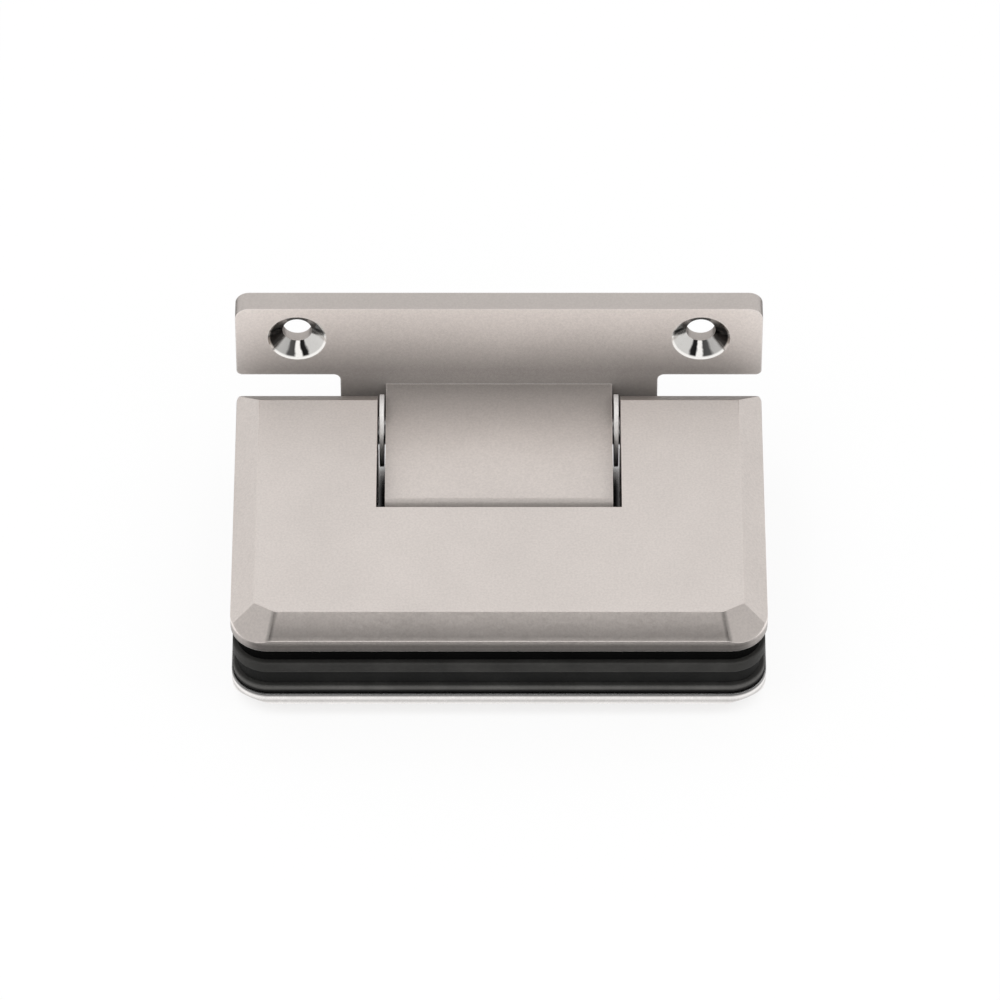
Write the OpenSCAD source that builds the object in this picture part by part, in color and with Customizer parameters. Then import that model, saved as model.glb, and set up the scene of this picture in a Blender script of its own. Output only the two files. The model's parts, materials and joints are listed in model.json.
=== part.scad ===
// Hinged transom clamp for a glass panel, with a two-hole wall plate.
// Sizes are in mm. The origin lies midway between the wall holes, on the wall face.
// X runs along the pivot, +Y points into the wall and +Z points out of the clamp's front face.

/* [Wall plate] */
// Length of the wall plate
wall_w = 90; // [84:1:110]
// Height of the wings that carry the screw holes
wing_h = 15.6; // [14:0.2:20]
// Thickness of the wall plate
wall_t = 4; // [3.6:0.1:5]
// Radius of the upper corners of the wings
wing_top_r = 2.4; // [1:0.1:4]
// Radius of the lower corners of the wings
wing_low_r = 1; // [0.5:0.1:1.8]
// Distance from the upper edge down to the hole line
hole_down = 7; // [6.4:0.1:8]
// Distance between the two wall holes
hole_spacing = 69; // [66:0.5:72]
// Diameter of the wall screw holes
hole_d = 5; // [4:0.1:5.5]
// Diameter of the countersinks
sink_d = 10; // [9:0.1:11]
// Full angle of the countersinks
sink_angle = 100; // [82:1:110]
// Width of the tab below the wings
tab_w = 54.4; // [50:0.2:58]
// Height of the tab below the wings
tab_h = 15.4; // [14:0.2:17]
// Radius of the lower corners of the tab
tab_r = 3; // [1:0.1:4]
// Fillet between the wings and the tab
tab_fillet = 1.2; // [0.6:0.1:1.8]

/* [Tongue] */
// Width of the tongue between the thrust washers
tongue_w = 38.7; // [36:0.1:42]
// Thickness of the tongue
tongue_t = 10; // [9:0.1:11]
// Depth of the tongue below the front face
tongue_drop = 2.1; // [1.6:0.1:2.4]
// Radius of the edges at the tip
tip_r = 2.5; // [1.5:0.1:3.5]
// Gap between the tip and the notch
tip_gap = 1.7; // [1.4:0.1:2.2]

/* [Clamp plates] */
// Width of both clamp plates
clamp_w = 90; // [86:1:110]
// Length of both clamp plates
clamp_l = 58.4; // [54:0.2:70]
// Thickness of each clamp plate
plate_t = 5.4; // [5:0.1:6]
// Width of the edge bevel seen from the front
bevel_w = 4; // [3:0.1:4.6]
// Depth of the edge bevel
bevel_d = 3; // [2:0.1:3.4]
// Radius of the two near corners
near_r = 6.4; // [5.4:0.1:8]
// Turn of the bevel facets across the near corners
facet_turn = 30; // [25:1:45]
// Cut of these facets inside the corner radius
facet_cut = 0.9; // [0.5:0.1:1.4]
// Radius of the two far corners
far_r = 1.4; // [0.8:0.1:2.4]
// Length of the notch from the far edge
notch_l = 29.7; // [28:0.1:31]
// Gap on each side of the tongue
side_gap = 1.4; // [1.3:0.05:1.8]
// Gap between the wall plate and the far edge
far_gap = 2; // [1.9:0.1:2.6]
// Drop from the wings' lower edge to the front face
face_drop = 0.2; // [0:0.1:0.6]

/* [Pivot] */
// Diameter of the pivot pins
pin_d = 4.8; // [4.4:0.1:5]
// Length of each pivot pin
pin_l = 19; // [17:0.5:20]
// Room left beyond the outer end of each pin
pin_room = 0.3; // [0.2:0.1:0.5]
// Length of each pin inside the tongue
pin_in = 10; // [9:0.5:11]
// Distance from the far edge to the pivot
pivot_in = 5.1; // [4.8:0.1:5.3]
// Depth of the pivot below the front face
pivot_down = 6.3; // [6:0.1:6.5]
// Diameter of the thrust washers
washer_d = 12.4; // [11:0.1:12.6]
// Thickness of the thrust washers
washer_t = 0.8; // [0.6:0.05:0.8]
// Radial clearance of the running fits
run_fit = 0.05; // [0.03:0.01:0.08]
// Clearance between parts that are fixed together
seat_fit = 0.02; // [0.02:0.01:0.05]

/* [Pin lugs] */
// Length of the lugs along the pivot
lug_w = 11.5; // [10.5:0.5:12.5]
// Setback of the lugs from the far edge
lug_set = 0.8; // [0.6:0.1:1.2]
// Size of the lugs away from the far edge
lug_l = 10.7; // [10:0.1:11.5]
// Height of the lugs behind the front plate
lug_h = 8.2; // [8:0.1:8.5]
// Diameter of the pin lock screws
lock_d = 4; // [3:0.5:5]
// Length of the pin lock screws
lock_l = 4; // [3.5:0.1:4.5]

/* [Friction unit] */
// Distance of each friction unit from the side of the tongue
tension_in = 5.85; // [5:0.05:6.5]
// Diameter of the tension screws
tension_d = 5; // [4:0.5:5.5]
// Length of the tension screws
tension_l = 5; // [4:0.1:5.5]
// Length of the friction shoes along their bore
shoe_l = 6; // [5:0.1:6.5]
// Number of discs in each spring stack
disc_count = 7; // [5:1:8]
// Thickness of one disc
disc_t = 0.5; // [0.4:0.05:0.55]
// Cone height of one disc
disc_h = 0.35; // [0.25:0.05:0.4]
// Radial clearance of the discs in their bore
disc_fit = 0.22; // [0.15:0.01:0.3]

/* [Gaskets] */
// Thickness of the gasket against the front plate
front_gasket_t = 3.2; // [2.8:0.05:3.6]
// Thickness of the spacer gasket next to it
front_spacer_t = 2.25; // [2:0.05:2.6]
// Thickness of the spacer gasket next to the rear gasket
rear_spacer_t = 2.9; // [2.5:0.05:3.3]
// Thickness of the gasket against the back plate
rear_gasket_t = 1.65; // [1.4:0.05:2]
// Parting gap between the two spacer gaskets
part_gap = 0.3; // [0.3:0.05:0.4]
// Setback of the exposed gasket edges
edge_set = 0.3; // [0.2:0.1:0.6]
// Setback of the hidden gasket edges
deep_set = 1.1; // [0.8:0.1:1.6]
// Clearance of the gaskets around lugs and bosses
gasket_fit = 0.5; // [0.4:0.1:0.8]

/* [Clamp screws] */
// Distance of the clamp screws from the side edges
screw_edge = 12; // [10.5:0.5:13]
// Distance of the clamp screws from the far edge
screw_in = 27; // [25:0.5:30]
// Diameter of the clamp screws
screw_d = 6; // [5:0.1:6.2]
// Diameter of the countersunk heads
head_d = 11.2; // [10.6:0.1:11.6]
// Size of the hexagon sockets across the flats
socket_af = 4; // [3:0.5:4]
// Depth of the hexagon sockets
socket_l = 2.6; // [2:0.1:2.8]
// Diameter of the screw bosses
boss_d = 11; // [10:0.1:11.5]
// Height of the screw bosses
boss_h = 4; // [3.5:0.1:4.4]
// Metal left in front of the blind screw holes
blind_wall = 2; // [1.8:0.1:2.4]
// Room left beyond the tips of the clamp screws
tip_room = 1.2; // [0.8:0.1:1.6]
// Radial clearance of the clamp screws in the back plate and gaskets
pass_fit = 0.3; // [0.2:0.05:0.5]
// Depth of the countersunk heads below the back face
head_sink = 0.1; // [0.05:0.05:0.2]
// Radial clearance of the countersunk heads in their seats
head_fit = 0.1; // [0.05:0.05:0.2]

/* [Display] */
// Piece to draw

/* [Hidden] */
$fn = 64;
eps = 0.1;
lap = 0.02;
min_r = 0.3;
front_stack = front_gasket_t + front_spacer_t;
rear_stack = rear_spacer_t + rear_gasket_t;
jaw_gap = front_stack + part_gap + rear_stack;
wing_top_z = hole_down;
wing_low_z = wing_top_z - wing_h;
tab_low_z = wing_low_z - tab_h;
far_y = -wall_t - far_gap;
near_y = far_y - clamp_l;
face_z = wing_low_z - face_drop;
front_low_z = face_z - plate_t;
back_top_z = front_low_z - jaw_gap;
back_low_z = back_top_z - plate_t;
pivot_y = far_y - pivot_in;
pivot_z = face_z - pivot_down;
notch_w = tongue_w + 2 * side_gap;
notch_y = far_y - notch_l;
tip_y = notch_y + tip_gap;
tongue_top_z = face_z - tongue_drop;
sink_depth = (sink_d - hole_d) / 2 / tan(sink_angle / 2);
lug_x = notch_w / 2;
lug_low_z = front_low_z - lug_h;
pin_x0 = tongue_w / 2 - pin_in;
tension_x = tongue_w / 2 - tension_in;
lock_x = (lug_x + pin_x0 + pin_l) / 2;
washer_x0 = (tongue_w / 2 + notch_w / 2 - washer_t) / 2;
pin_bore_d = pin_d + 2 * run_fit;
disc_lap = 0.08;
disc_pitch = disc_t + disc_h - disc_lap;
stack_l = disc_count * disc_pitch + disc_lap;
shoe_far_y = pivot_y - pin_d / 4;
shoe_near_y = pivot_y - pin_d / 2 - shoe_l;
stack_near_y = shoe_near_y - seat_fit - stack_l;
tension_far_y = stack_near_y - seat_fit;
tension_bore_d = tension_d + 2 * seat_fit;
screw_y = far_y - screw_in;
screw_x = clamp_w / 2 - screw_edge;
screw_tip_z = face_z - blind_wall - tip_room;
screw_bore_d = screw_d + 2 * run_fit;
screw_pass_d = screw_d + 2 * pass_fit;
head_h = (head_d - screw_d) / 2;
metal = [0.72, 0.69, 0.66];
steel = [0.78, 0.78, 0.8];
black = [0.06, 0.06, 0.065];
brass = [0.76, 0.62, 0.36];

// A rectangle with its own radius on each pair of corners: lower pair first.
module corner_rect(w, y0, y1, r_low, r_high) {
  union() {
    translate([-w / 2, y0 + r_low]) square([w, y1 - y0 - r_low - r_high]);
    translate([-w / 2 + r_low, y0]) square([w - 2 * r_low, r_low + eps]);
    translate([-w / 2 + r_high, y1 - r_high - eps]) square([w - 2 * r_high, r_high + eps]);
    for (s = [-1, 1]) {
      translate([s * (w / 2 - r_low), y0 + r_low]) circle(r_low);
      translate([s * (w / 2 - r_high), y1 - r_high]) circle(r_high);
    }
  }
}

// Outline of a clamp plate or gasket in plan, set back from the plate edge.
module clamp_outline(set) {
  r_low = near_r - set;
  r_high = max(far_r - set, min_r);
  corner_rect(clamp_w - 2 * set, near_y + set, far_y - set, r_low, r_high);
}

// Cross-section of a bar as high as a plate, its sides sloped like the bevel with their feet at u0 and u1.
module bevel_profile(u0, u1) {
  slope = bevel_w / bevel_d;
  low = (plate_t - bevel_d + eps) * slope;
  high = (bevel_d + eps) * slope;
  polygon([
    [u0 - low, -eps], [u1 + low, -eps],
    [u1 - high, plate_t + eps], [u0 + high, plate_t + eps]
  ]);
}

// Bar that slopes off one near corner. s is -1 on the left and 1 on the right.
module corner_bar(s) {
  span = 2 * (clamp_w + clamp_l);
  translate([s * (clamp_w / 2 - near_r), near_y + near_r, 0])
    rotate([0, 0, s * facet_turn])
      rotate([90, 0, 90])
        translate([0, 0, -span / 2])
          linear_extrude(span)
            bevel_profile(facet_cut - near_r, span);
}

// Notched clamp plate with its bevel upwards and its inner side at z = 0.
module clamp_plate() {
  difference() {
    intersection() {
      linear_extrude(plate_t) clamp_outline(0);
      translate([0, far_y + clamp_l, 0])
        rotate([90, 0, 0])
          linear_extrude(3 * clamp_l)
            bevel_profile(-clamp_w / 2, clamp_w / 2);
      translate([-clamp_w, 0, 0])
        rotate([90, 0, 90])
          linear_extrude(2 * clamp_w)
            bevel_profile(near_y, far_y);
      corner_bar(-1);
      corner_bar(1);
    }
    translate([-notch_w / 2, notch_y, -eps]) cube([notch_w, notch_l + eps, plate_t + 2 * eps]);
  }
}

// Round bar along +X from x0.
module bar_x(x0, l, d) {
  translate([x0, pivot_y, pivot_z]) rotate([0, 90, 0]) cylinder(h = l, d = d);
}

// Round bar along -Y from y0, at the height of the pivot.
module bar_y(x, y0, l, d) {
  translate([x, y0, pivot_z]) rotate([90, 0, 0]) cylinder(h = l, d = d);
}

// Hexagon prism for a socket, along +Z.
module socket(af, l) {
  cylinder(h = l, d = af / cos(30), $fn = 6);
}

// T-shaped outline of the wall plate, drawn with Z as the second direction.
module wall_outline() {
  corner_rect(wall_w, wing_low_z, wing_top_z, wing_low_r, wing_top_r);
  corner_rect(tab_w, tab_low_z, wing_low_z + wing_h / 2, tab_r, min_r);
  for (s = [-1, 1])
    difference() {
      translate([s * (tab_w / 2 + tab_fillet / 2), wing_low_z - tab_fillet / 2])
        square(tab_fillet + lap, center = true);
      translate([s * (tab_w / 2 + tab_fillet), wing_low_z - tab_fillet]) circle(tab_fillet);
    }
}

// Tongue in side view: Y as the first direction and Z as the second.
module tongue_profile() {
  low = tongue_top_z - tongue_t;
  union() {
    translate([tip_y + tip_r, low]) square([-wall_t / 2 - tip_y - tip_r, tongue_t]);
    translate([tip_y, low + tip_r]) square([tip_r + eps, tongue_t - 2 * tip_r]);
    translate([tip_y + tip_r, low + tip_r]) circle(tip_r);
    translate([tip_y + tip_r, low + tongue_t - tip_r]) circle(tip_r);
  }
}

module wall_plate() {
  color(metal)
    difference() {
      union() {
        rotate([90, 0, 0]) linear_extrude(wall_t) wall_outline();
        translate([-tongue_w / 2, 0, 0])
          rotate([90, 0, 90])
            linear_extrude(tongue_w) tongue_profile();
      }
      for (s = [-1, 1])
        translate([s * hole_spacing / 2, 0, 0]) {
          translate([0, eps, 0])
            rotate([90, 0, 0])
              cylinder(h = wall_t + 2 * eps, d = hole_d);
          translate([0, -wall_t, 0])
            rotate([-90, 0, 0])
              cylinder(h = sink_depth, d1 = sink_d, d2 = hole_d);
        }
      bar_x(-tongue_w / 2 - eps, tongue_w + 2 * eps, pin_bore_d);
      for (s = [-1, 1])
        bar_y(s * tension_x, pivot_y, pivot_y - tip_y + eps, tension_bore_d);
    }
}

module front_plate() {
  color(metal)
    difference() {
      union() {
        translate([0, 0, front_low_z]) clamp_plate();
        for (s = [-1, 1]) {
          translate([s * (lug_x + lug_w / 2) - lug_w / 2, far_y - lug_set - lug_l, lug_low_z])
            cube([lug_w, lug_l, lug_h + eps]);
          translate([s * screw_x, screw_y, front_low_z - boss_h])
            cylinder(h = boss_h + eps, d = boss_d);
        }
      }
      for (s = [-1, 1]) {
        pin_out = pin_x0 + pin_l + pin_room;
        bar_x(s > 0 ? lug_x - eps : -pin_out, pin_out - lug_x + eps, pin_d + 2 * seat_fit);
        translate([s * lock_x, pivot_y, lug_low_z - eps])
          cylinder(h = pivot_z - lug_low_z + eps, d = lock_d + 2 * seat_fit);
        translate([s * screw_x, screw_y, front_low_z - boss_h - eps])
          cylinder(h = boss_h + plate_t - blind_wall + eps, d = screw_bore_d);
      }
    }
}

module back_plate() {
  color(metal)
    difference() {
      translate([0, 0, back_top_z]) mirror([0, 0, 1]) clamp_plate();
      for (s = [-1, 1])
        translate([s * screw_x, screw_y, back_low_z]) {
          translate([0, 0, -eps]) cylinder(h = plate_t + 2 * eps, d = screw_pass_d);
          cylinder(
            h = head_h + head_sink,
            d1 = head_d + 2 * (head_fit + head_sink),
            d2 = screw_d + 2 * head_fit
          );
        }
    }
}

// Gasket sheet between z0 and z0 + t, cut back for the lugs and drilled for the screws.
module gasket(z0, t, set, d) {
  color(black)
    translate([0, 0, z0])
      linear_extrude(t)
        difference() {
          clamp_outline(set);
          translate([-notch_w / 2 - gasket_fit, notch_y - gasket_fit])
            square([notch_w + 2 * gasket_fit, notch_l + gasket_fit + eps]);
          translate([-lug_x - lug_w - gasket_fit, far_y - lug_set - lug_l - gasket_fit])
            square([2 * (lug_x + lug_w + gasket_fit), lug_set + lug_l + gasket_fit + eps]);
          for (s = [-1, 1])
            translate([s * screw_x, screw_y]) circle(d = d);
        }
}

module front_gasket() {
  gasket(front_low_z - front_gasket_t, front_gasket_t, deep_set, boss_d + 2 * gasket_fit);
}

module front_spacer_gasket() {
  gasket(front_low_z - front_stack, front_spacer_t, edge_set, boss_d + 2 * gasket_fit);
}

module rear_spacer_gasket() {
  gasket(back_top_z + rear_gasket_t, rear_spacer_t, deep_set, screw_pass_d);
}

module rear_gasket() {
  gasket(back_top_z, rear_gasket_t, edge_set, screw_pass_d);
}

// Pivot pin with a small chamfer on both ends. s is -1 on the left and 1 on the right.
module pivot_pin(s) {
  edge = 0.4;
  color(steel)
    translate([s * pin_x0, pivot_y, pivot_z])
      rotate([0, s * 90, 0])
        rotate_extrude()
          polygon([
            [0, 0], [pin_d / 2 - edge, 0], [pin_d / 2, edge],
            [pin_d / 2, pin_l - edge], [pin_d / 2 - edge, pin_l], [0, pin_l]
          ]);
}

module pivot_pin_left() {
  pivot_pin(-1);
}

module pivot_pin_right() {
  pivot_pin(1);
}

module thrust_washer(s) {
  x0 = s > 0 ? washer_x0 : -washer_x0 - washer_t;
  color(steel)
    difference() {
      bar_x(x0, washer_t, washer_d);
      bar_x(x0 - eps, washer_t + 2 * eps, pin_bore_d);
    }
}

module thrust_washer_left() {
  thrust_washer(-1);
}

module thrust_washer_right() {
  thrust_washer(1);
}

module pin_lock_screw(s) {
  top = pivot_z - pin_d / 2 - seat_fit;
  color(steel)
    translate([s * lock_x, pivot_y, top - lock_l])
      difference() {
        cylinder(h = lock_l, d = lock_d);
        translate([0, 0, -eps]) socket(lock_d / 2, lock_l / 2 + eps);
      }
}

module pin_lock_screw_left() {
  pin_lock_screw(-1);
}

module pin_lock_screw_right() {
  pin_lock_screw(1);
}

// Plug with a hollow end that bears on the pin.
module friction_shoe(s) {
  color(brass)
    difference() {
      bar_y(s * tension_x, shoe_far_y, shoe_far_y - shoe_near_y, tension_d);
      bar_x(s * tension_x - tension_d, 2 * tension_d, pin_bore_d);
    }
}

module friction_shoe_left() {
  friction_shoe(-1);
}

module friction_shoe_right() {
  friction_shoe(1);
}

// Half section of a stack of cone discs laid alternate ways, as one closed spring pack.
module disc_springs(s) {
  r_out = tension_bore_d / 2 - disc_fit;
  r_in = tension_d / 4;
  full = disc_t + disc_h;
  color(steel)
    translate([s * tension_x, shoe_near_y - seat_fit, pivot_z])
      rotate([90, 0, 0])
        rotate_extrude()
          for (i = [0 : disc_count - 1])
            translate([0, i * disc_pitch])
              polygon(i % 2 == 0
                ? [[r_in, disc_h], [r_out, 0], [r_out, disc_t], [r_in, full]]
                : [[r_in, 0], [r_out, disc_h], [r_out, full], [r_in, disc_t]]);
}

module disc_springs_left() {
  disc_springs(-1);
}

module disc_springs_right() {
  disc_springs(1);
}

module tension_screw(s) {
  color(steel)
    difference() {
      bar_y(s * tension_x, tension_far_y, tension_l, tension_d);
      translate([s * tension_x, tension_far_y - tension_l / 2, pivot_z])
        rotate([90, 0, 0])
          socket(tension_d / 2, tension_l / 2 + eps);
    }
}

module tension_screw_left() {
  tension_screw(-1);
}

module tension_screw_right() {
  tension_screw(1);
}

// Countersunk screw with a hexagon socket, its head flush with the back plate.
module clamp_screw(s) {
  low = back_low_z + head_sink;
  color(steel)
    translate([s * screw_x, screw_y, 0])
      difference() {
        union() {
          translate([0, 0, low]) cylinder(h = head_h, d1 = head_d, d2 = screw_d);
          translate([0, 0, low + head_h - eps])
            cylinder(h = screw_tip_z - low - head_h + eps, d = screw_d);
        }
        translate([0, 0, low - eps]) socket(socket_af, socket_l + eps);
      }
}

module clamp_screw_left() {
  clamp_screw(-1);
}

module clamp_screw_right() {
  clamp_screw(1);
}

wall_plate();
front_plate();
back_plate();
pivot_pin_left();
pivot_pin_right();
thrust_washer_left();
thrust_washer_right();
pin_lock_screw_left();
pin_lock_screw_right();
friction_shoe_left();
friction_shoe_right();
disc_springs_left();
disc_springs_right();
tension_screw_left();
tension_screw_right();
front_gasket();
front_spacer_gasket();
rear_spacer_gasket();
rear_gasket();
clamp_screw_left();
clamp_screw_right();
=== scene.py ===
import json
import math

import bmesh
import bpy
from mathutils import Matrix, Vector


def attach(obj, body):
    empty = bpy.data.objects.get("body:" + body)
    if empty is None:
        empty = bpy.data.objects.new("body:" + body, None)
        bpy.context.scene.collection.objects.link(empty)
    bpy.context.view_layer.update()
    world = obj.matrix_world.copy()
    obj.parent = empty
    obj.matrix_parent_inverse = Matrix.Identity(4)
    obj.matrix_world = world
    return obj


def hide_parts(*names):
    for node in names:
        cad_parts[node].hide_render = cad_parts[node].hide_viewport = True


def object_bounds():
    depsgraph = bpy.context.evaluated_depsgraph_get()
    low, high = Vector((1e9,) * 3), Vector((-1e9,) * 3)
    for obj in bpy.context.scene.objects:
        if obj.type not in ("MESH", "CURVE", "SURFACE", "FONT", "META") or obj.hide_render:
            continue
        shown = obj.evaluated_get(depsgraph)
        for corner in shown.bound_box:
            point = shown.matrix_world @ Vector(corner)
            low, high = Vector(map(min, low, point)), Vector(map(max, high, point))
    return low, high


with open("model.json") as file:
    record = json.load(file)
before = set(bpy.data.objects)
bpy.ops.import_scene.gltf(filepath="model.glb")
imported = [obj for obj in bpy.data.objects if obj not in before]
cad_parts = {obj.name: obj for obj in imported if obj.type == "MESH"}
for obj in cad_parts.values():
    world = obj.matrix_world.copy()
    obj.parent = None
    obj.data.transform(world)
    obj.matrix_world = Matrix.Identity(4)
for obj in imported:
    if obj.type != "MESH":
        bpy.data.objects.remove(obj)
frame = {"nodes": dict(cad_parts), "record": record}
cad_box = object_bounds()
scene = bpy.context.scene
nodes = frame["nodes"]
record = frame["record"]
body_of = {node: body for body, names in record["behaviour"]["bodies"].items() for node in names}
mounts = {mount["name"]: mount for mount in record["mounts"]}

# All lengths are in metres, in the frame of the CAD model.
HOLE_X = mounts["wall_screws"]["dims"]["spacing_x_mm"] / 2000.0
X, Y, Z = range(3)


# Materials

class Graph:
    """The node tree of a material or world, with short calls for the nodes used here."""

    def __init__(self, owner):
        owner.use_nodes = True
        self.owner = owner
        self.tree = owner.node_tree
        self.shader = self.tree.nodes.get("Principled BSDF")
        self.coord = None

    def add(self, kind, **props):
        node = self.tree.nodes.new(kind)
        for key, value in props.items():
            setattr(node, key, value)
        return node

    def put(self, socket, value):
        """Links an output to the socket, or sets a plain number or colour on it."""
        if isinstance(value, bpy.types.NodeSocket):
            self.tree.links.new(value, socket)
        elif socket.type == "RGBA":
            socket.default_value = (*value, 1.0)
        else:
            socket.default_value = value

    def fill(self, node, **values):
        """Puts each value on the node's socket of that name, with _ for a space."""
        for key, value in values.items():
            self.put(node.inputs[key.replace("_", " ")], value)
        return node

    def set(self, **values):
        self.fill(self.shader, **values)

    def surface(self, shader):
        self.put(self.tree.nodes["Material Output"].inputs["Surface"], shader)

    def place(self):
        """The object's own coordinates."""
        if self.coord is None:
            self.coord = self.add("ShaderNodeTexCoord").outputs["Object"]
        return self.coord

    def along(self, axis):
        split = self.add("ShaderNodeSeparateXYZ")
        self.put(split.inputs[0], self.place())
        return split.outputs[axis]

    def math(self, op, a, b=0.0):
        node = self.add("ShaderNodeMath", operation=op)
        self.put(node.inputs[0], a)
        self.put(node.inputs[1], b)
        return node.outputs[0]

    def remap(self, value, lo, hi, a=0.0, b=1.0, smooth=False):
        """The value taken from the range lo to hi to the range a to b, and kept inside it."""
        node = self.add("ShaderNodeMapRange", interpolation_type="SMOOTHSTEP" if smooth else "LINEAR")
        self.fill(node, Value=value, From_Min=lo, From_Max=hi, To_Min=a, To_Max=b)
        return node.outputs["Result"]

    def mix(self, fac, a, b, blend="MIX"):
        node = self.add("ShaderNodeMix", data_type="RGBA", blend_type=blend)
        # The colour sockets share their names with the float ones, so they are set by position.
        for position, value in ((0, fac), (6, a), (7, b)):
            self.put(node.inputs[position], value)
        return node.outputs[2]

    def times(self, colour, level):
        return self.mix(1.0, colour, level, "MULTIPLY")

    def noise(self, scale, detail=2.0, rough=0.5, stretch=None):
        source = self.place()
        if stretch:
            mapping = self.fill(self.add("ShaderNodeMapping"), Vector=source, Scale=stretch)
            source = mapping.outputs["Vector"]
        texture = self.add("ShaderNodeTexNoise")
        self.fill(texture, Vector=source, Scale=scale, Detail=detail, Roughness=rough)
        return texture.outputs["Fac"]

    def spread(self, noise, a, b):
        """A noise spread over the range a to b; most of it lies between 0.3 and 0.7."""
        return self.remap(noise, 0.3, 0.7, a, b)

    def ramp(self, value, lo, hi, stops):
        """A grey that follows the value from lo to hi through the stops (place, level)."""
        node = self.add("ShaderNodeValToRGB")
        points = node.color_ramp.elements
        while len(points) < len(stops):
            points.new(0.5)
        for point, (place, level) in zip(points, stops):
            point.position = (place - lo) / (hi - lo)
            point.color = (level, level, level, 1.0)
        self.put(node.inputs["Fac"], self.remap(value, lo, hi))
        return node.outputs["Color"]

    def fall(self, colour, axis, stops):
        """The colour times a level that follows the stops (place, level) along an axis."""
        return self.times(colour, self.ramp(self.along(axis), stops[0][0], stops[-1][0], stops))

    def openness(self, distance, samples):
        """1 in the open, and less in a hollow or close to another surface."""
        node = self.add("ShaderNodeAmbientOcclusion", samples=samples)
        self.fill(node, Distance=distance)
        return node.outputs["AO"]

    def edges(self, radius, wear):
        """A mask along the edges, for worn edges and, on the gaskets, partly for a painted highlight: how
        far the rounded normal leans away from the surface.
        """
        bevel = self.fill(self.add("ShaderNodeBevel", samples=4), Radius=radius)
        geometry = self.add("ShaderNodeNewGeometry")
        dot = self.add("ShaderNodeVectorMath", operation="DOT_PRODUCT")
        self.put(dot.inputs[0], bevel.outputs["Normal"])
        self.put(dot.inputs[1], geometry.outputs["Normal"])
        return self.remap(dot.outputs["Value"], 0.995, 0.88, 0.0, wear)

    def bump(self, height, strength, distance):
        node = self.add("ShaderNodeBump")
        self.fill(node, Height=height, Strength=strength, Distance=distance)
        self.set(Normal=node.outputs["Normal"])


def new_graph(name):
    return Graph(bpy.data.materials.new(name))


def tint(colour, factor):
    return tuple(min(1.0, channel * factor) for channel in colour)


def satin_nickel(name, light, dark, rough, metal, hollow=None, fall=None, crease=None):
    """Satin nickel plate: fine speckle, faint clouds and worn edges.

    Where asked, it has painted shade in the hollows and near other surfaces (reach, openness where it is
    darkest, its level), painted light and shade that fall along an axis (axis, stops), and a painted dark
    line of shade along the creases of the near corners (the line's two ends as z, |x|).
    """
    g = new_graph(name)
    colour = g.mix(g.remap(g.noise(2600.0, 3.0, 0.6), 0.35, 0.65), dark, light)
    colour = g.times(colour, g.spread(g.noise(70.0, 3.0), 0.97, 1.03))
    # Painted shade: the colour darkens where little is open around, in hollows and near other surfaces.
    if hollow:
        reach, darkest_at, level = hollow
        hollow_shade = g.remap(g.openness(reach, samples=6), darkest_at, 1.0, level, 1.0)
        colour = g.times(colour, hollow_shade)
    # Painted light and shade: the colour follows the stops along an axis.
    if fall:
        colour = g.fall(colour, *fall)
    # Painted shade: a dark line along the crease of a near corner.
    if crease:
        (low_z, low_x), (high_z, high_x) = crease
        line_x = g.remap(g.along(Z), low_z, high_z, low_x, high_x)
        away = g.math("ABSOLUTE", g.math("SUBTRACT", g.math("ABSOLUTE", g.along(X)), line_x))
        colour = g.times(colour, g.remap(away, 0.0001, 0.0007, 0.58, 1.0, smooth=True))
    colour = g.mix(g.edges(0.00035, 0.5), colour, tint(light, 1.3))
    g.set(Base_Color=colour, Metallic=metal)
    g.set(Roughness=g.spread(g.noise(1400.0), rough - 0.05, rough + 0.06))
    g.bump(g.noise(3400.0, 2.0, 0.6), 0.12, 0.00006)
    return g.owner


def polished_nickel(name, bright, deep, streaks):
    """Polished countersinks with painted reflections: broad dark and bright streaks that run down the cone,
    and a painted highlight on the rim.
    """
    g = new_graph(name)
    across = g.math("SUBTRACT", g.math("ABSOLUTE", g.along(X)), HOLE_X)
    height = g.along(Z)
    turn = g.math("ARCTAN2", g.math("MULTIPLY", across, -1.0), g.math("MULTIPLY", height, -1.0))
    waver = g.spread(g.noise(700.0), -0.04, 0.04)
    # Painted reflection: dark and bright streaks by the turn round the hole.
    streak = g.ramp(g.math("ADD", turn, waver), -math.pi, math.pi, streaks)
    squares = g.math("ADD", g.math("MULTIPLY", across, across), g.math("MULTIPLY", height, height))
    # Painted highlight: a bright ring at the rim.
    rim = g.remap(g.math("SQRT", squares), 0.0045, 0.0048, smooth=True)
    g.set(Base_Color=g.mix(rim, g.mix(streak, deep, bright), bright), Metallic=1.0)
    g.set(Roughness=g.spread(g.noise(600.0), 0.10, 0.20))
    g.bump(g.noise(2500.0), 0.05, 0.00003)
    return g.owner


def streaked_metal(name, colour, dark, scale, stretch, rough, strength, depth):
    """Machined metal with fine streaks; dark is how far they go below the colour."""
    g = new_graph(name)
    streak = g.noise(scale, stretch=stretch)
    g.set(Base_Color=g.mix(streak, tint(colour, dark), colour), Metallic=1.0)
    g.set(Roughness=g.spread(streak, *rough))
    g.bump(streak, strength, depth)
    return g.owner


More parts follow.
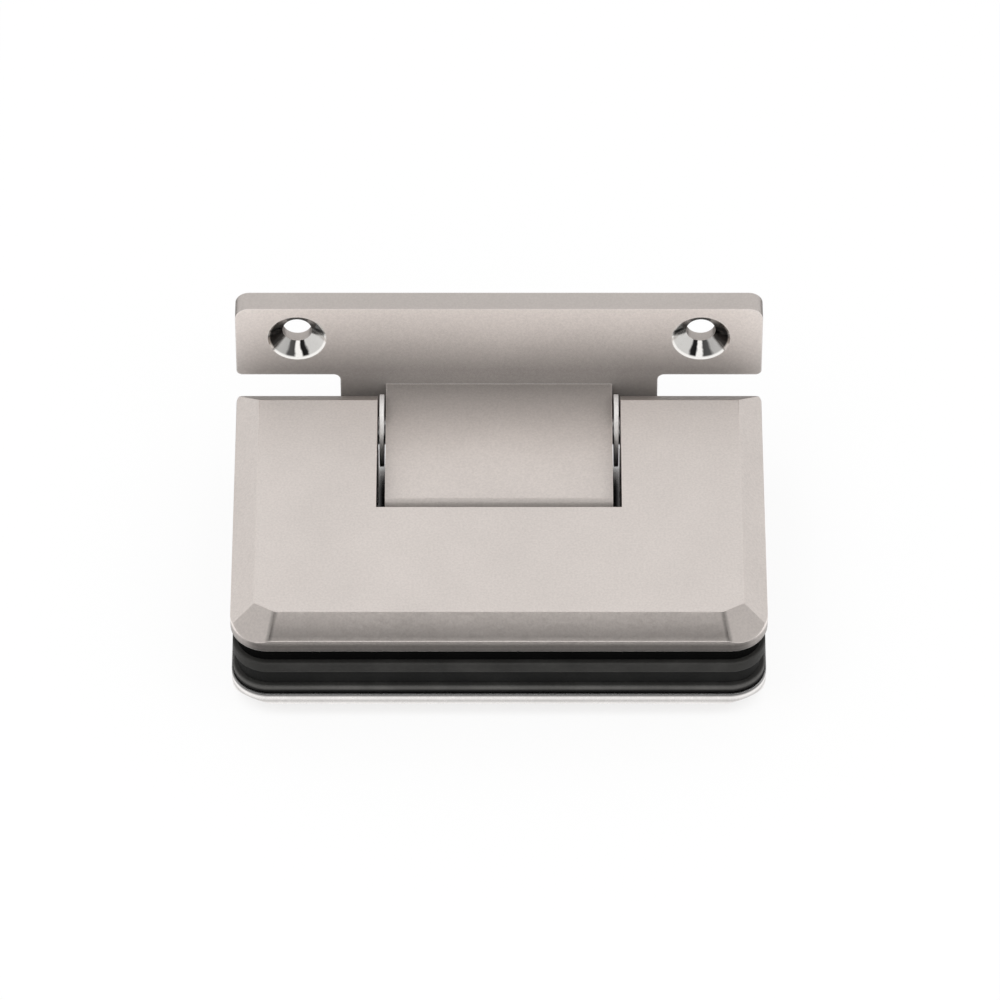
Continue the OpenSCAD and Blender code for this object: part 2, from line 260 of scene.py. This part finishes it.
def sheet_rubber(name, colour, edge, rough, gloss, fall=None):
    """Black gasket sheet: fine grain, dusty patches and a lighter edge, partly rubbed wear and partly a
    painted highlight.

    Where asked, painted light and shade fall along an axis (axis, stops).
    """
    g = new_graph(name)
    grain = g.noise(2200.0, 3.0, 0.6)
    dust = g.remap(g.noise(120.0, 4.0, 0.6), 0.45, 0.75, 0.0, 0.25)
    base = g.mix(grain, tint(colour, 0.7), tint(colour, 1.3))
    base = g.mix(dust, base, tint(colour, 3.0))
    # Lighter edges: rubbed wear, raised on the gaskets to paint a highlight along their edges.
    base = g.mix(g.edges(0.0004, 0.8), base, edge)
    # Painted light and shade along an axis.
    if fall:
        base = g.fall(base, *fall)
    g.set(Base_Color=base, Specular_IOR_Level=gloss)
    g.set(Roughness=g.spread(grain, rough - 0.08, rough + 0.08))
    g.bump(grain, 0.25, 0.00008)
    return g.owner


LIGHT = (0.67, 0.615, 0.58)
DARK = (0.60, 0.55, 0.52)

# Painted reflections round a countersink, as dark and bright streaks (turn, level), from straight down
# towards the middle of the part.
SINK_REFLECTION_STREAKS = (
    (-2.6, 0.4), (-2.2, 0.02), (-1.1, 0.05), (-0.85, 0.5), (-0.52, 0.45), (-0.40, 0.08),
    (-0.14, 0.06), (-0.06, 1.0), (0.14, 1.0), (0.21, 0.0), (0.42, 0.01), (0.52, 0.65),
    (1.5, 0.7), (1.75, 0.2), (2.2, 0.02), (2.6, 0.4),
)

# Painted light and shade along an axis (place, level): shade on the wall plate's front, on the rounded end
# of the tongue, on the near bevel and the wall of the front plate, on the wall of the back plate and deep in
# the notch's walls, and a highlight with shade below on the rear gasket's wall.
FACE_PAINTED_SHADE = (Z, (
    (-0.0260, 1.0), (-0.0118, 1.0), (-0.0100, 0.94), (-0.0075, 0.82), (-0.0040, 0.91), (0.0, 0.99),
    (0.0070, 1.0),
))
TIP_PAINTED_SHADE = (Y, (
    (-0.0345, 1.0), (-0.0326, 1.0), (-0.0324, 0.95), (-0.0322, 0.84), (-0.0320, 0.8), (-0.0318, 0.82),
    (-0.0315, 0.9), (-0.0312, 0.96), (-0.0309, 1.0),
))
NEAR_PAINTED_SHADE = (Z, (
    (-0.0118, 0.92), (-0.0116, 0.72), (-0.0113, 0.58), (-0.0106, 0.69), (-0.0100, 0.82), (-0.0096, 0.89),
    (-0.0088, 1.0),
))
EDGE_PAINTED_SHADE = (Z, (
    (-0.0142, 0.22), (-0.0139, 0.36), (-0.0135, 0.46), (-0.0130, 0.44), (-0.0126, 0.60), (-0.0123, 0.92),
    (-0.0118, 1.0),
))
FOOT_PAINTED_SHADE = (Z, (
    (-0.0299, 1.0), (-0.0267, 1.0), (-0.02635, 0.74), (-0.0261, 0.62), (-0.02585, 0.8), (-0.0255, 1.0),
    (-0.0253, 1.0), (-0.02515, 0.72), (-0.0249, 0.26), (-0.0247, 0.1), (-0.0245, 0.08),
))
NOTCH_PAINTED_SHADE = (Y, ((-0.0360, 0.02), (-0.0245, 0.04), (-0.0215, 0.8), (-0.0060, 1.0)))
RIDGE_PAINTED_LIGHT_AND_SHADE = (Z, (
    (-0.0245, 0.03), (-0.0239, 0.10), (-0.0236, 0.8), (-0.0233, 1.0), (-0.0230, 0.7), (-0.02285, 0.36),
))

# Ends of the crease between the near bevel and a corner facet of the front plate, as (z, |x|); a dark line
# of shade is painted along it.
CREASE = ((-0.0118, 0.03851), (-0.0088, 0.03744))


def plated(name, factor, rough, metal, **extra):
    """Satin nickel of the plates, lighter or darker by a factor, which paints light or shade where it isn't
    1.
    """
    return satin_nickel(name, tint(LIGHT, factor), tint(DARK, factor), rough, metal, **extra)


# Lit and shaded copies of one satin nickel: each factor paints the light or shade of its faces; WALL and
# FACE add painted shade in the hollows, and FACE, TIP, NEAR, EDGE, FOOT and the notch walls painted light
# and shade along an axis.
PLATE = plated("satin_nickel_plate", 1.0, 0.38, 0.8)
FLAT = plated("satin_nickel_flat", 0.91, 0.42, 0.25)
WALL = plated("satin_nickel_wall", 1.0, 0.38, 0.4, hollow=(0.018, 0.45, 0.5))
FACE = plated("satin_nickel_face", 1.31, 0.40, 0.12, hollow=(0.02, 0.60, 0.40), fall=FACE_PAINTED_SHADE)
# Darker copy: painted shade on the wall plate's rims and in its bores.
RIM = satin_nickel("satin_nickel_rim", tint(LIGHT, 0.72), tint(LIGHT, 0.66), 0.4, 0.6)
TIP = plated("satin_nickel_tip", 1.0, 0.38, 0.8, fall=TIP_PAINTED_SHADE)
# CORNER and NEAR also carry a painted shade line along the crease of the near corners.
CORNER = plated("satin_nickel_corner", 1.0, 0.38, 0.8, crease=CREASE)
NEAR = plated("satin_nickel_near", 1.2, 0.38, 0.8, fall=NEAR_PAINTED_SHADE, crease=CREASE)
EDGE = plated("satin_nickel_edge", 1.45, 0.38, 0.8, fall=EDGE_PAINTED_SHADE)
# Lighter copy: painted reflection of the floor on the back plate's walls.
FOOT = satin_nickel("satin_nickel_foot", (0.97, 0.94, 0.92), (0.93, 0.90, 0.88), 0.3, 0.9, fall=FOOT_PAINTED_SHADE)
NOTCH_SHADE = plated("notch_walls_painted_shade", 0.9, 0.5, 0.4, fall=NOTCH_PAINTED_SHADE)
WASHER = satin_nickel("satin_washer", (0.82, 0.80, 0.78), (0.74, 0.72, 0.70), 0.5, 0.2)
SINK = polished_nickel("polished_nickel", (0.93, 0.91, 0.88), (0.008, 0.008, 0.008), SINK_REFLECTION_STREAKS)
STEEL = streaked_metal(
    "turned_steel", (0.88, 0.88, 0.89), dark=0.82, scale=1800.0, stretch=(6.0, 0.4, 0.4),
    rough=(0.24, 0.38), strength=0.1, depth=0.00004,
)
BRONZE = streaked_metal(
    "machined_bronze", (0.62, 0.45, 0.22), dark=0.75, scale=1500.0, stretch=(1.0, 4.0, 1.0),
    rough=(0.3, 0.45), strength=0.15, depth=0.00005,
)
# Lit and shaded copies of one gasket rubber: the front gasket and the rear spacer, set back between the
# plates, are painted dark as shade; the rear gasket is painted lighter, with a painted highlight on its
# ridge.
DEEP_SHADE_RUBBER = sheet_rubber("rubber_painted_deep_shade", (0.0015, 0.0015, 0.0014), (0.004, 0.004, 0.004), 0.85, 0.08)
RUBBER = sheet_rubber("sheet_rubber", (0.031, 0.0303, 0.0285), (0.075, 0.073, 0.069), 0.6, 0.2)
INNER = sheet_rubber("inner_rubber", (0.010, 0.010, 0.0095), (0.02, 0.02, 0.019), 0.75, 0.2)
RIDGE = sheet_rubber(
    "ridge_rubber", (0.095, 0.0925, 0.088), (0.16, 0.156, 0.148), 0.6, 0.2, fall=RIDGE_PAINTED_LIGHT_AND_SHADE,
)


# Pieces: a solid whose edges are seen is copied, the copy's edges are rounded as on the plated casting,
# and the copy stands for the solid. The other solids stay and get a material.

SAME_POINT = 1e-6               # points closer than this are merged
FLAT_TURN = math.radians(0.4)   # faces that turn by less are joined
FLAT_DOT = 0.99999              # normals this close belong to one flat region
SQUARE_MM = 1e6                 # square millimetres in a square metre

PLATE_ROUND = 0.00022           # rounding of the metal plates, the gaskets and the small turned pieces
GASKET_ROUND = 0.0003
SMALL_ROUND = 0.0001
PLATE_ANGLE = 16.0              # the clamp plates' facets meet at small angles, and are rounded too

SINK_REACH = 0.0053             # a countersink with its rim, and a bore, from the hole's middle
BORE_REACH = 0.0026
WALL_FRONT_Y = -0.0045          # the tongue lies in front of this
NOTCH_X = 0.0209                # half the notch's width, with its rounding
NOTCH_Y = -0.04                 # the notch ends behind this
STEEP = 0.3                     # a wall's normal has less z than this


def flat_areas(bm):
    """The area of the flat region that each face belongs to."""
    area = {}
    for seed in bm.faces:
        if seed in area:
            continue
        region, queue = {seed}, [seed]
        while queue:
            for edge in queue.pop().edges:
                for face in edge.link_faces:
                    if face not in region and face.normal.dot(seed.normal) > FLAT_DOT:
                        region.add(face)
                        queue.append(face)
        total = sum(face.calc_area() for face in region)
        area.update((face, total) for face in region)
    return area


def rounded(name, width, segments, materials, pick=None, angle=30.0):
    """Stands for a solid: its copy, with the edges sharper than the angle rounded.

    pick gives a face's material from its centre and normal; without it, all take the first.
    """
    source = nodes[name]
    bm = bmesh.new()
    bm.from_mesh(source.data)
    bmesh.ops.transform(bm, matrix=source.matrix_world, verts=bm.verts)
    bmesh.ops.remove_doubles(bm, verts=bm.verts, dist=SAME_POINT)
    bmesh.ops.dissolve_limit(bm, angle_limit=FLAT_TURN, verts=bm.verts, edges=bm.edges)
    limit = math.radians(angle)
    sharp = [e for e in bm.edges if len(e.link_faces) == 2 and e.calc_face_angle(0.0) > limit]
    bmesh.ops.bevel(
        bm, geom=sharp, offset=width, offset_type="OFFSET", segments=segments,
        profile=0.5, affect="EDGES", clamp_overlap=True, loop_slide=True,
    )
    bm.normal_update()
    bm.verts.index_update()
    for face in bm.faces:
        face.smooth = True
        material = pick(face.calc_center_median(), face.normal) if pick else materials[0]
        face.material_index = materials.index(material)
    # Each corner takes the normal of the largest flat it touches, so flats shade flat and edges shade round.
    area = flat_areas(bm)
    normals = []
    for vert in bm.verts:
        total = Vector()
        for face in vert.link_faces:
            total += face.normal * (area[face] * SQUARE_MM) ** 2
        normals.append(total.normalized())
    mesh = bpy.data.meshes.new(name + "_finish")
    bm.to_mesh(mesh)
    bm.free()
    mesh.normals_split_custom_set_from_vertices(normals)
    piece = bpy.data.objects.new(name + "_finish", mesh)
    scene.collection.objects.link(piece)
    for material in materials:
        mesh.materials.append(material)
    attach(piece, body_of[name])
    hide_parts(name)


def wall_face(centre, normal):
    """Countersinks, bores, front and rims of the wall plate, and its tongue with the rounded end."""
    for side in (-1, 1):
        reach = math.hypot(centre.x - side * HOLE_X, centre.z)
        if reach < SINK_REACH and abs(normal.y) < 0.98:
            return RIM if reach < BORE_REACH else SINK
    if centre.y < WALL_FRONT_Y:
        return TIP if normal.y < -0.02 else WALL
    return FACE if normal.y < -0.98 else RIM


def in_notch(centre, normal):
    return abs(centre.x) < NOTCH_X and abs(normal.z) < STEEP and centre.y > NOTCH_Y


def front_face(centre, normal):
    """Notch, outer walls, near bevel and corner facets, flat face and other bevels of the front plate."""
    if in_notch(centre, normal):
        return NOTCH_SHADE
    if abs(normal.z) < STEEP:
        return EDGE
    if normal.y < -0.2 and normal.z > 0.0:
        return NEAR if abs(normal.x) < 0.1 else CORNER
    return FLAT if normal.z > 0.99 else PLATE


def back_face(centre, normal):
    """Notch, outer walls with the face that carries the gasket, and the outer side of the back plate."""
    if in_notch(centre, normal):
        return NOTCH_SHADE
    return FOOT if normal.z > -STEEP else PLATE


rounded("wall_plate", PLATE_ROUND, 2, [WALL, SINK, FACE, RIM, TIP], wall_face)
rounded("front_plate", PLATE_ROUND, 2, [PLATE, NOTCH_SHADE, FLAT, EDGE, NEAR, CORNER], front_face, PLATE_ANGLE)
rounded("back_plate", PLATE_ROUND, 2, [PLATE, NOTCH_SHADE, FOOT], back_face, PLATE_ANGLE)
for gasket, rubber in (
    ("front_gasket", DEEP_SHADE_RUBBER), ("front_spacer_gasket", RUBBER),
    ("rear_spacer_gasket", INNER), ("rear_gasket", RIDGE),
):
    rounded(gasket, GASKET_ROUND, 3, [rubber])
for side in ("left", "right"):
    rounded("thrust_washer_" + side, SMALL_ROUND, 1, [WASHER])
    rounded("clamp_screw_" + side, SMALL_ROUND, 1, [STEEL])
    for plain, metal in (
        ("pivot_pin_", STEEL), ("pin_lock_screw_", STEEL), ("friction_shoe_", BRONZE),
        ("disc_springs_", STEEL), ("tension_screw_", STEEL),
    ):
        node = nodes[plain + side]
        node.data.materials.clear()
        node.data.materials.append(metal)


# Stage: white floor and surround, soft lamps, and cards that only reflections see

LOW_Z = cad_box[0][2]
FLOOR_Z = LOW_Z - 0.0002        # just below the part
CARD_Z = LOW_Z + 0.0004         # just above the floor
MIDDLE = (0, -0.03, -0.015)     # what the lamps and the upper cards face


def background_rays(g):
    """1 for the rays that show the background: camera, glossy and transmission rays."""
    path = g.add("ShaderNodeLightPath")
    seen = path.outputs["Is Camera Ray"]
    for kind in ("Is Glossy Ray", "Is Transmission Ray"):
        seen = g.math("MAXIMUM", seen, path.outputs[kind])
    return seen


def inside(g, low, high, soft):
    """1 between two corners (|x|, y) seen from above, with limits that fade out over the width soft."""
    split = g.add("ShaderNodeSeparateXYZ")
    g.put(split.inputs[0], g.add("ShaderNodeNewGeometry").outputs["Position"])
    places = (g.math("ABSOLUTE", split.outputs["X"]), split.outputs["Y"])
    result = 1.0
    for value, start, end in zip(places, low, high):
        for first, last in ((start - soft, start), (end + soft, end)):
            result = g.math("MULTIPLY", g.remap(value, first, last, smooth=True), result)
    return result


def pale_floor(name):
    """A pale floor that the background's rays see nearly white, apart from the part's shadow.

    Below the notch its colour is painted dark, as shadow, where little of the sky is seen.
    """
    g = new_graph(name)
    sky = g.openness(0.06, samples=16)
    below_notch = inside(g, (-0.0400, -0.0360), (0.0200, -0.0060), 0.004)
    # Painted shadow: below the notch the floor's colour goes nearly black.
    darkest = g.remap(below_notch, 0.0, 1.0, 0.9, 0.02)
    g.set(Base_Color=g.remap(sky, 0.12, 0.22, darkest, 0.9), Roughness=0.9, Specular_IOR_Level=0.0)
    least_white = g.remap(below_notch, 0.0, 1.0, 0.72, 0.0)
    own_white = g.remap(sky, 0.25, 0.50, least_white, 0.88)
    blend = g.add("ShaderNodeMixShader")
    g.put(blend.inputs["Fac"], g.math("MULTIPLY", background_rays(g), own_white))
    g.put(blend.inputs[1], g.shader.outputs[0])
    g.put(blend.inputs[2], g.add("ShaderNodeEmission").outputs[0])
    g.surface(blend.outputs[0])
    return g.owner


def emitter(name, colour):
    g = new_graph(name)
    g.tree.nodes.remove(g.shader)
    g.surface(g.fill(g.add("ShaderNodeEmission"), Color=colour, Strength=1.0).outputs[0])
    return g.owner


def panel(name, centre, size, aim, material):
    """A rectangle that faces the aim, and isn't part of the object."""
    mesh = bpy.data.meshes.new(name)
    w, h = size[0] / 2, size[1] / 2
    mesh.from_pydata([(-w, -h, 0), (w, -h, 0), (w, h, 0), (-w, h, 0)], [], [(0, 1, 2, 3)])
    mesh.materials.append(material)
    obj = bpy.data.objects.new(name, mesh)
    scene.collection.objects.link(obj)
    obj.location = centre
    obj.rotation_euler = (Vector(aim) - Vector(centre)).to_track_quat("Z", "Y").to_euler()
    return obj


def card(name, centre, size, aim, tone):
    obj = panel(name, centre, size, aim, emitter(name, (tone, tone * 0.97, tone * 0.94)))
    obj.visible_camera = False
    obj.visible_diffuse = False
    obj.visible_shadow = False


def lamp(name, centre, size, watts):
    data = bpy.data.lights.new(name, "AREA")
    data.shape = "RECTANGLE"
    data.size, data.size_y = size
    data.energy = watts
    obj = bpy.data.objects.new(name, data)
    scene.collection.objects.link(obj)
    obj.location = centre
    obj.rotation_euler = (Vector(centre) - Vector(MIDDLE)).to_track_quat("Z", "Y").to_euler()
    obj.visible_glossy = False


panel("floor", (0, 0, FLOOR_Z), (6, 6), (0, 0, 1), pale_floor("floor"))

scene.world = bpy.data.worlds.new("studio")
sky = Graph(scene.world)
sky.fill(
    sky.tree.nodes["Background"], Color=(1, 1, 1),
    Strength=sky.remap(background_rays(sky), 0.0, 1.0, 0.9, 1.0),
)

lamp("key", (-0.35, -0.25, 0.75), (0.6, 0.6), 1.2)
lamp("fill", (0.55, -0.45, 0.5), (0.6, 0.6), 0.6)
lamp("top", (0.0, -0.05, 0.87), (0.9, 0.5), 1.0)

card("grey_card", (0.0, -0.30, 0.76), (1.3, 0.74), MIDDLE, 0.17)
for name, x in (("dark_flag_left", -0.22), ("dark_flag_right", 0.22)):
    card(name, (x, -0.33, 0.60), (0.12, 0.4), MIDDLE, 0.0)
for name, y, depth, tone in (("low_card", -0.115, 0.088, 0.02), ("back_card", 0.055, 0.09, 0.08)):
    card(name, (0.0, y, CARD_Z), (0.3, depth), (0, y, 1.0), tone)


# Camera at the photograph's angle

ELEVATION = math.radians(45.287)
DISTANCE = 1.44297
AIM = Vector((0.00017, -0.03717, -0.00571))
FOCAL_PX, FRAME_PX = 8561.63, 1000.0
SENSOR_MM = 36.0
toward = Vector((0, math.cos(ELEVATION), -math.sin(ELEVATION)))
lens = bpy.data.cameras.new("camera")
lens.sensor_width = SENSOR_MM
lens.lens = FOCAL_PX * SENSOR_MM / FRAME_PX
camera = bpy.data.objects.new("camera", lens)
scene.collection.objects.link(camera)
camera.location = AIM - toward * DISTANCE
camera.rotation_euler = toward.to_track_quat("-Z", "Y").to_euler()
scene.camera = camera
scene.view_settings.view_transform = "Standard"
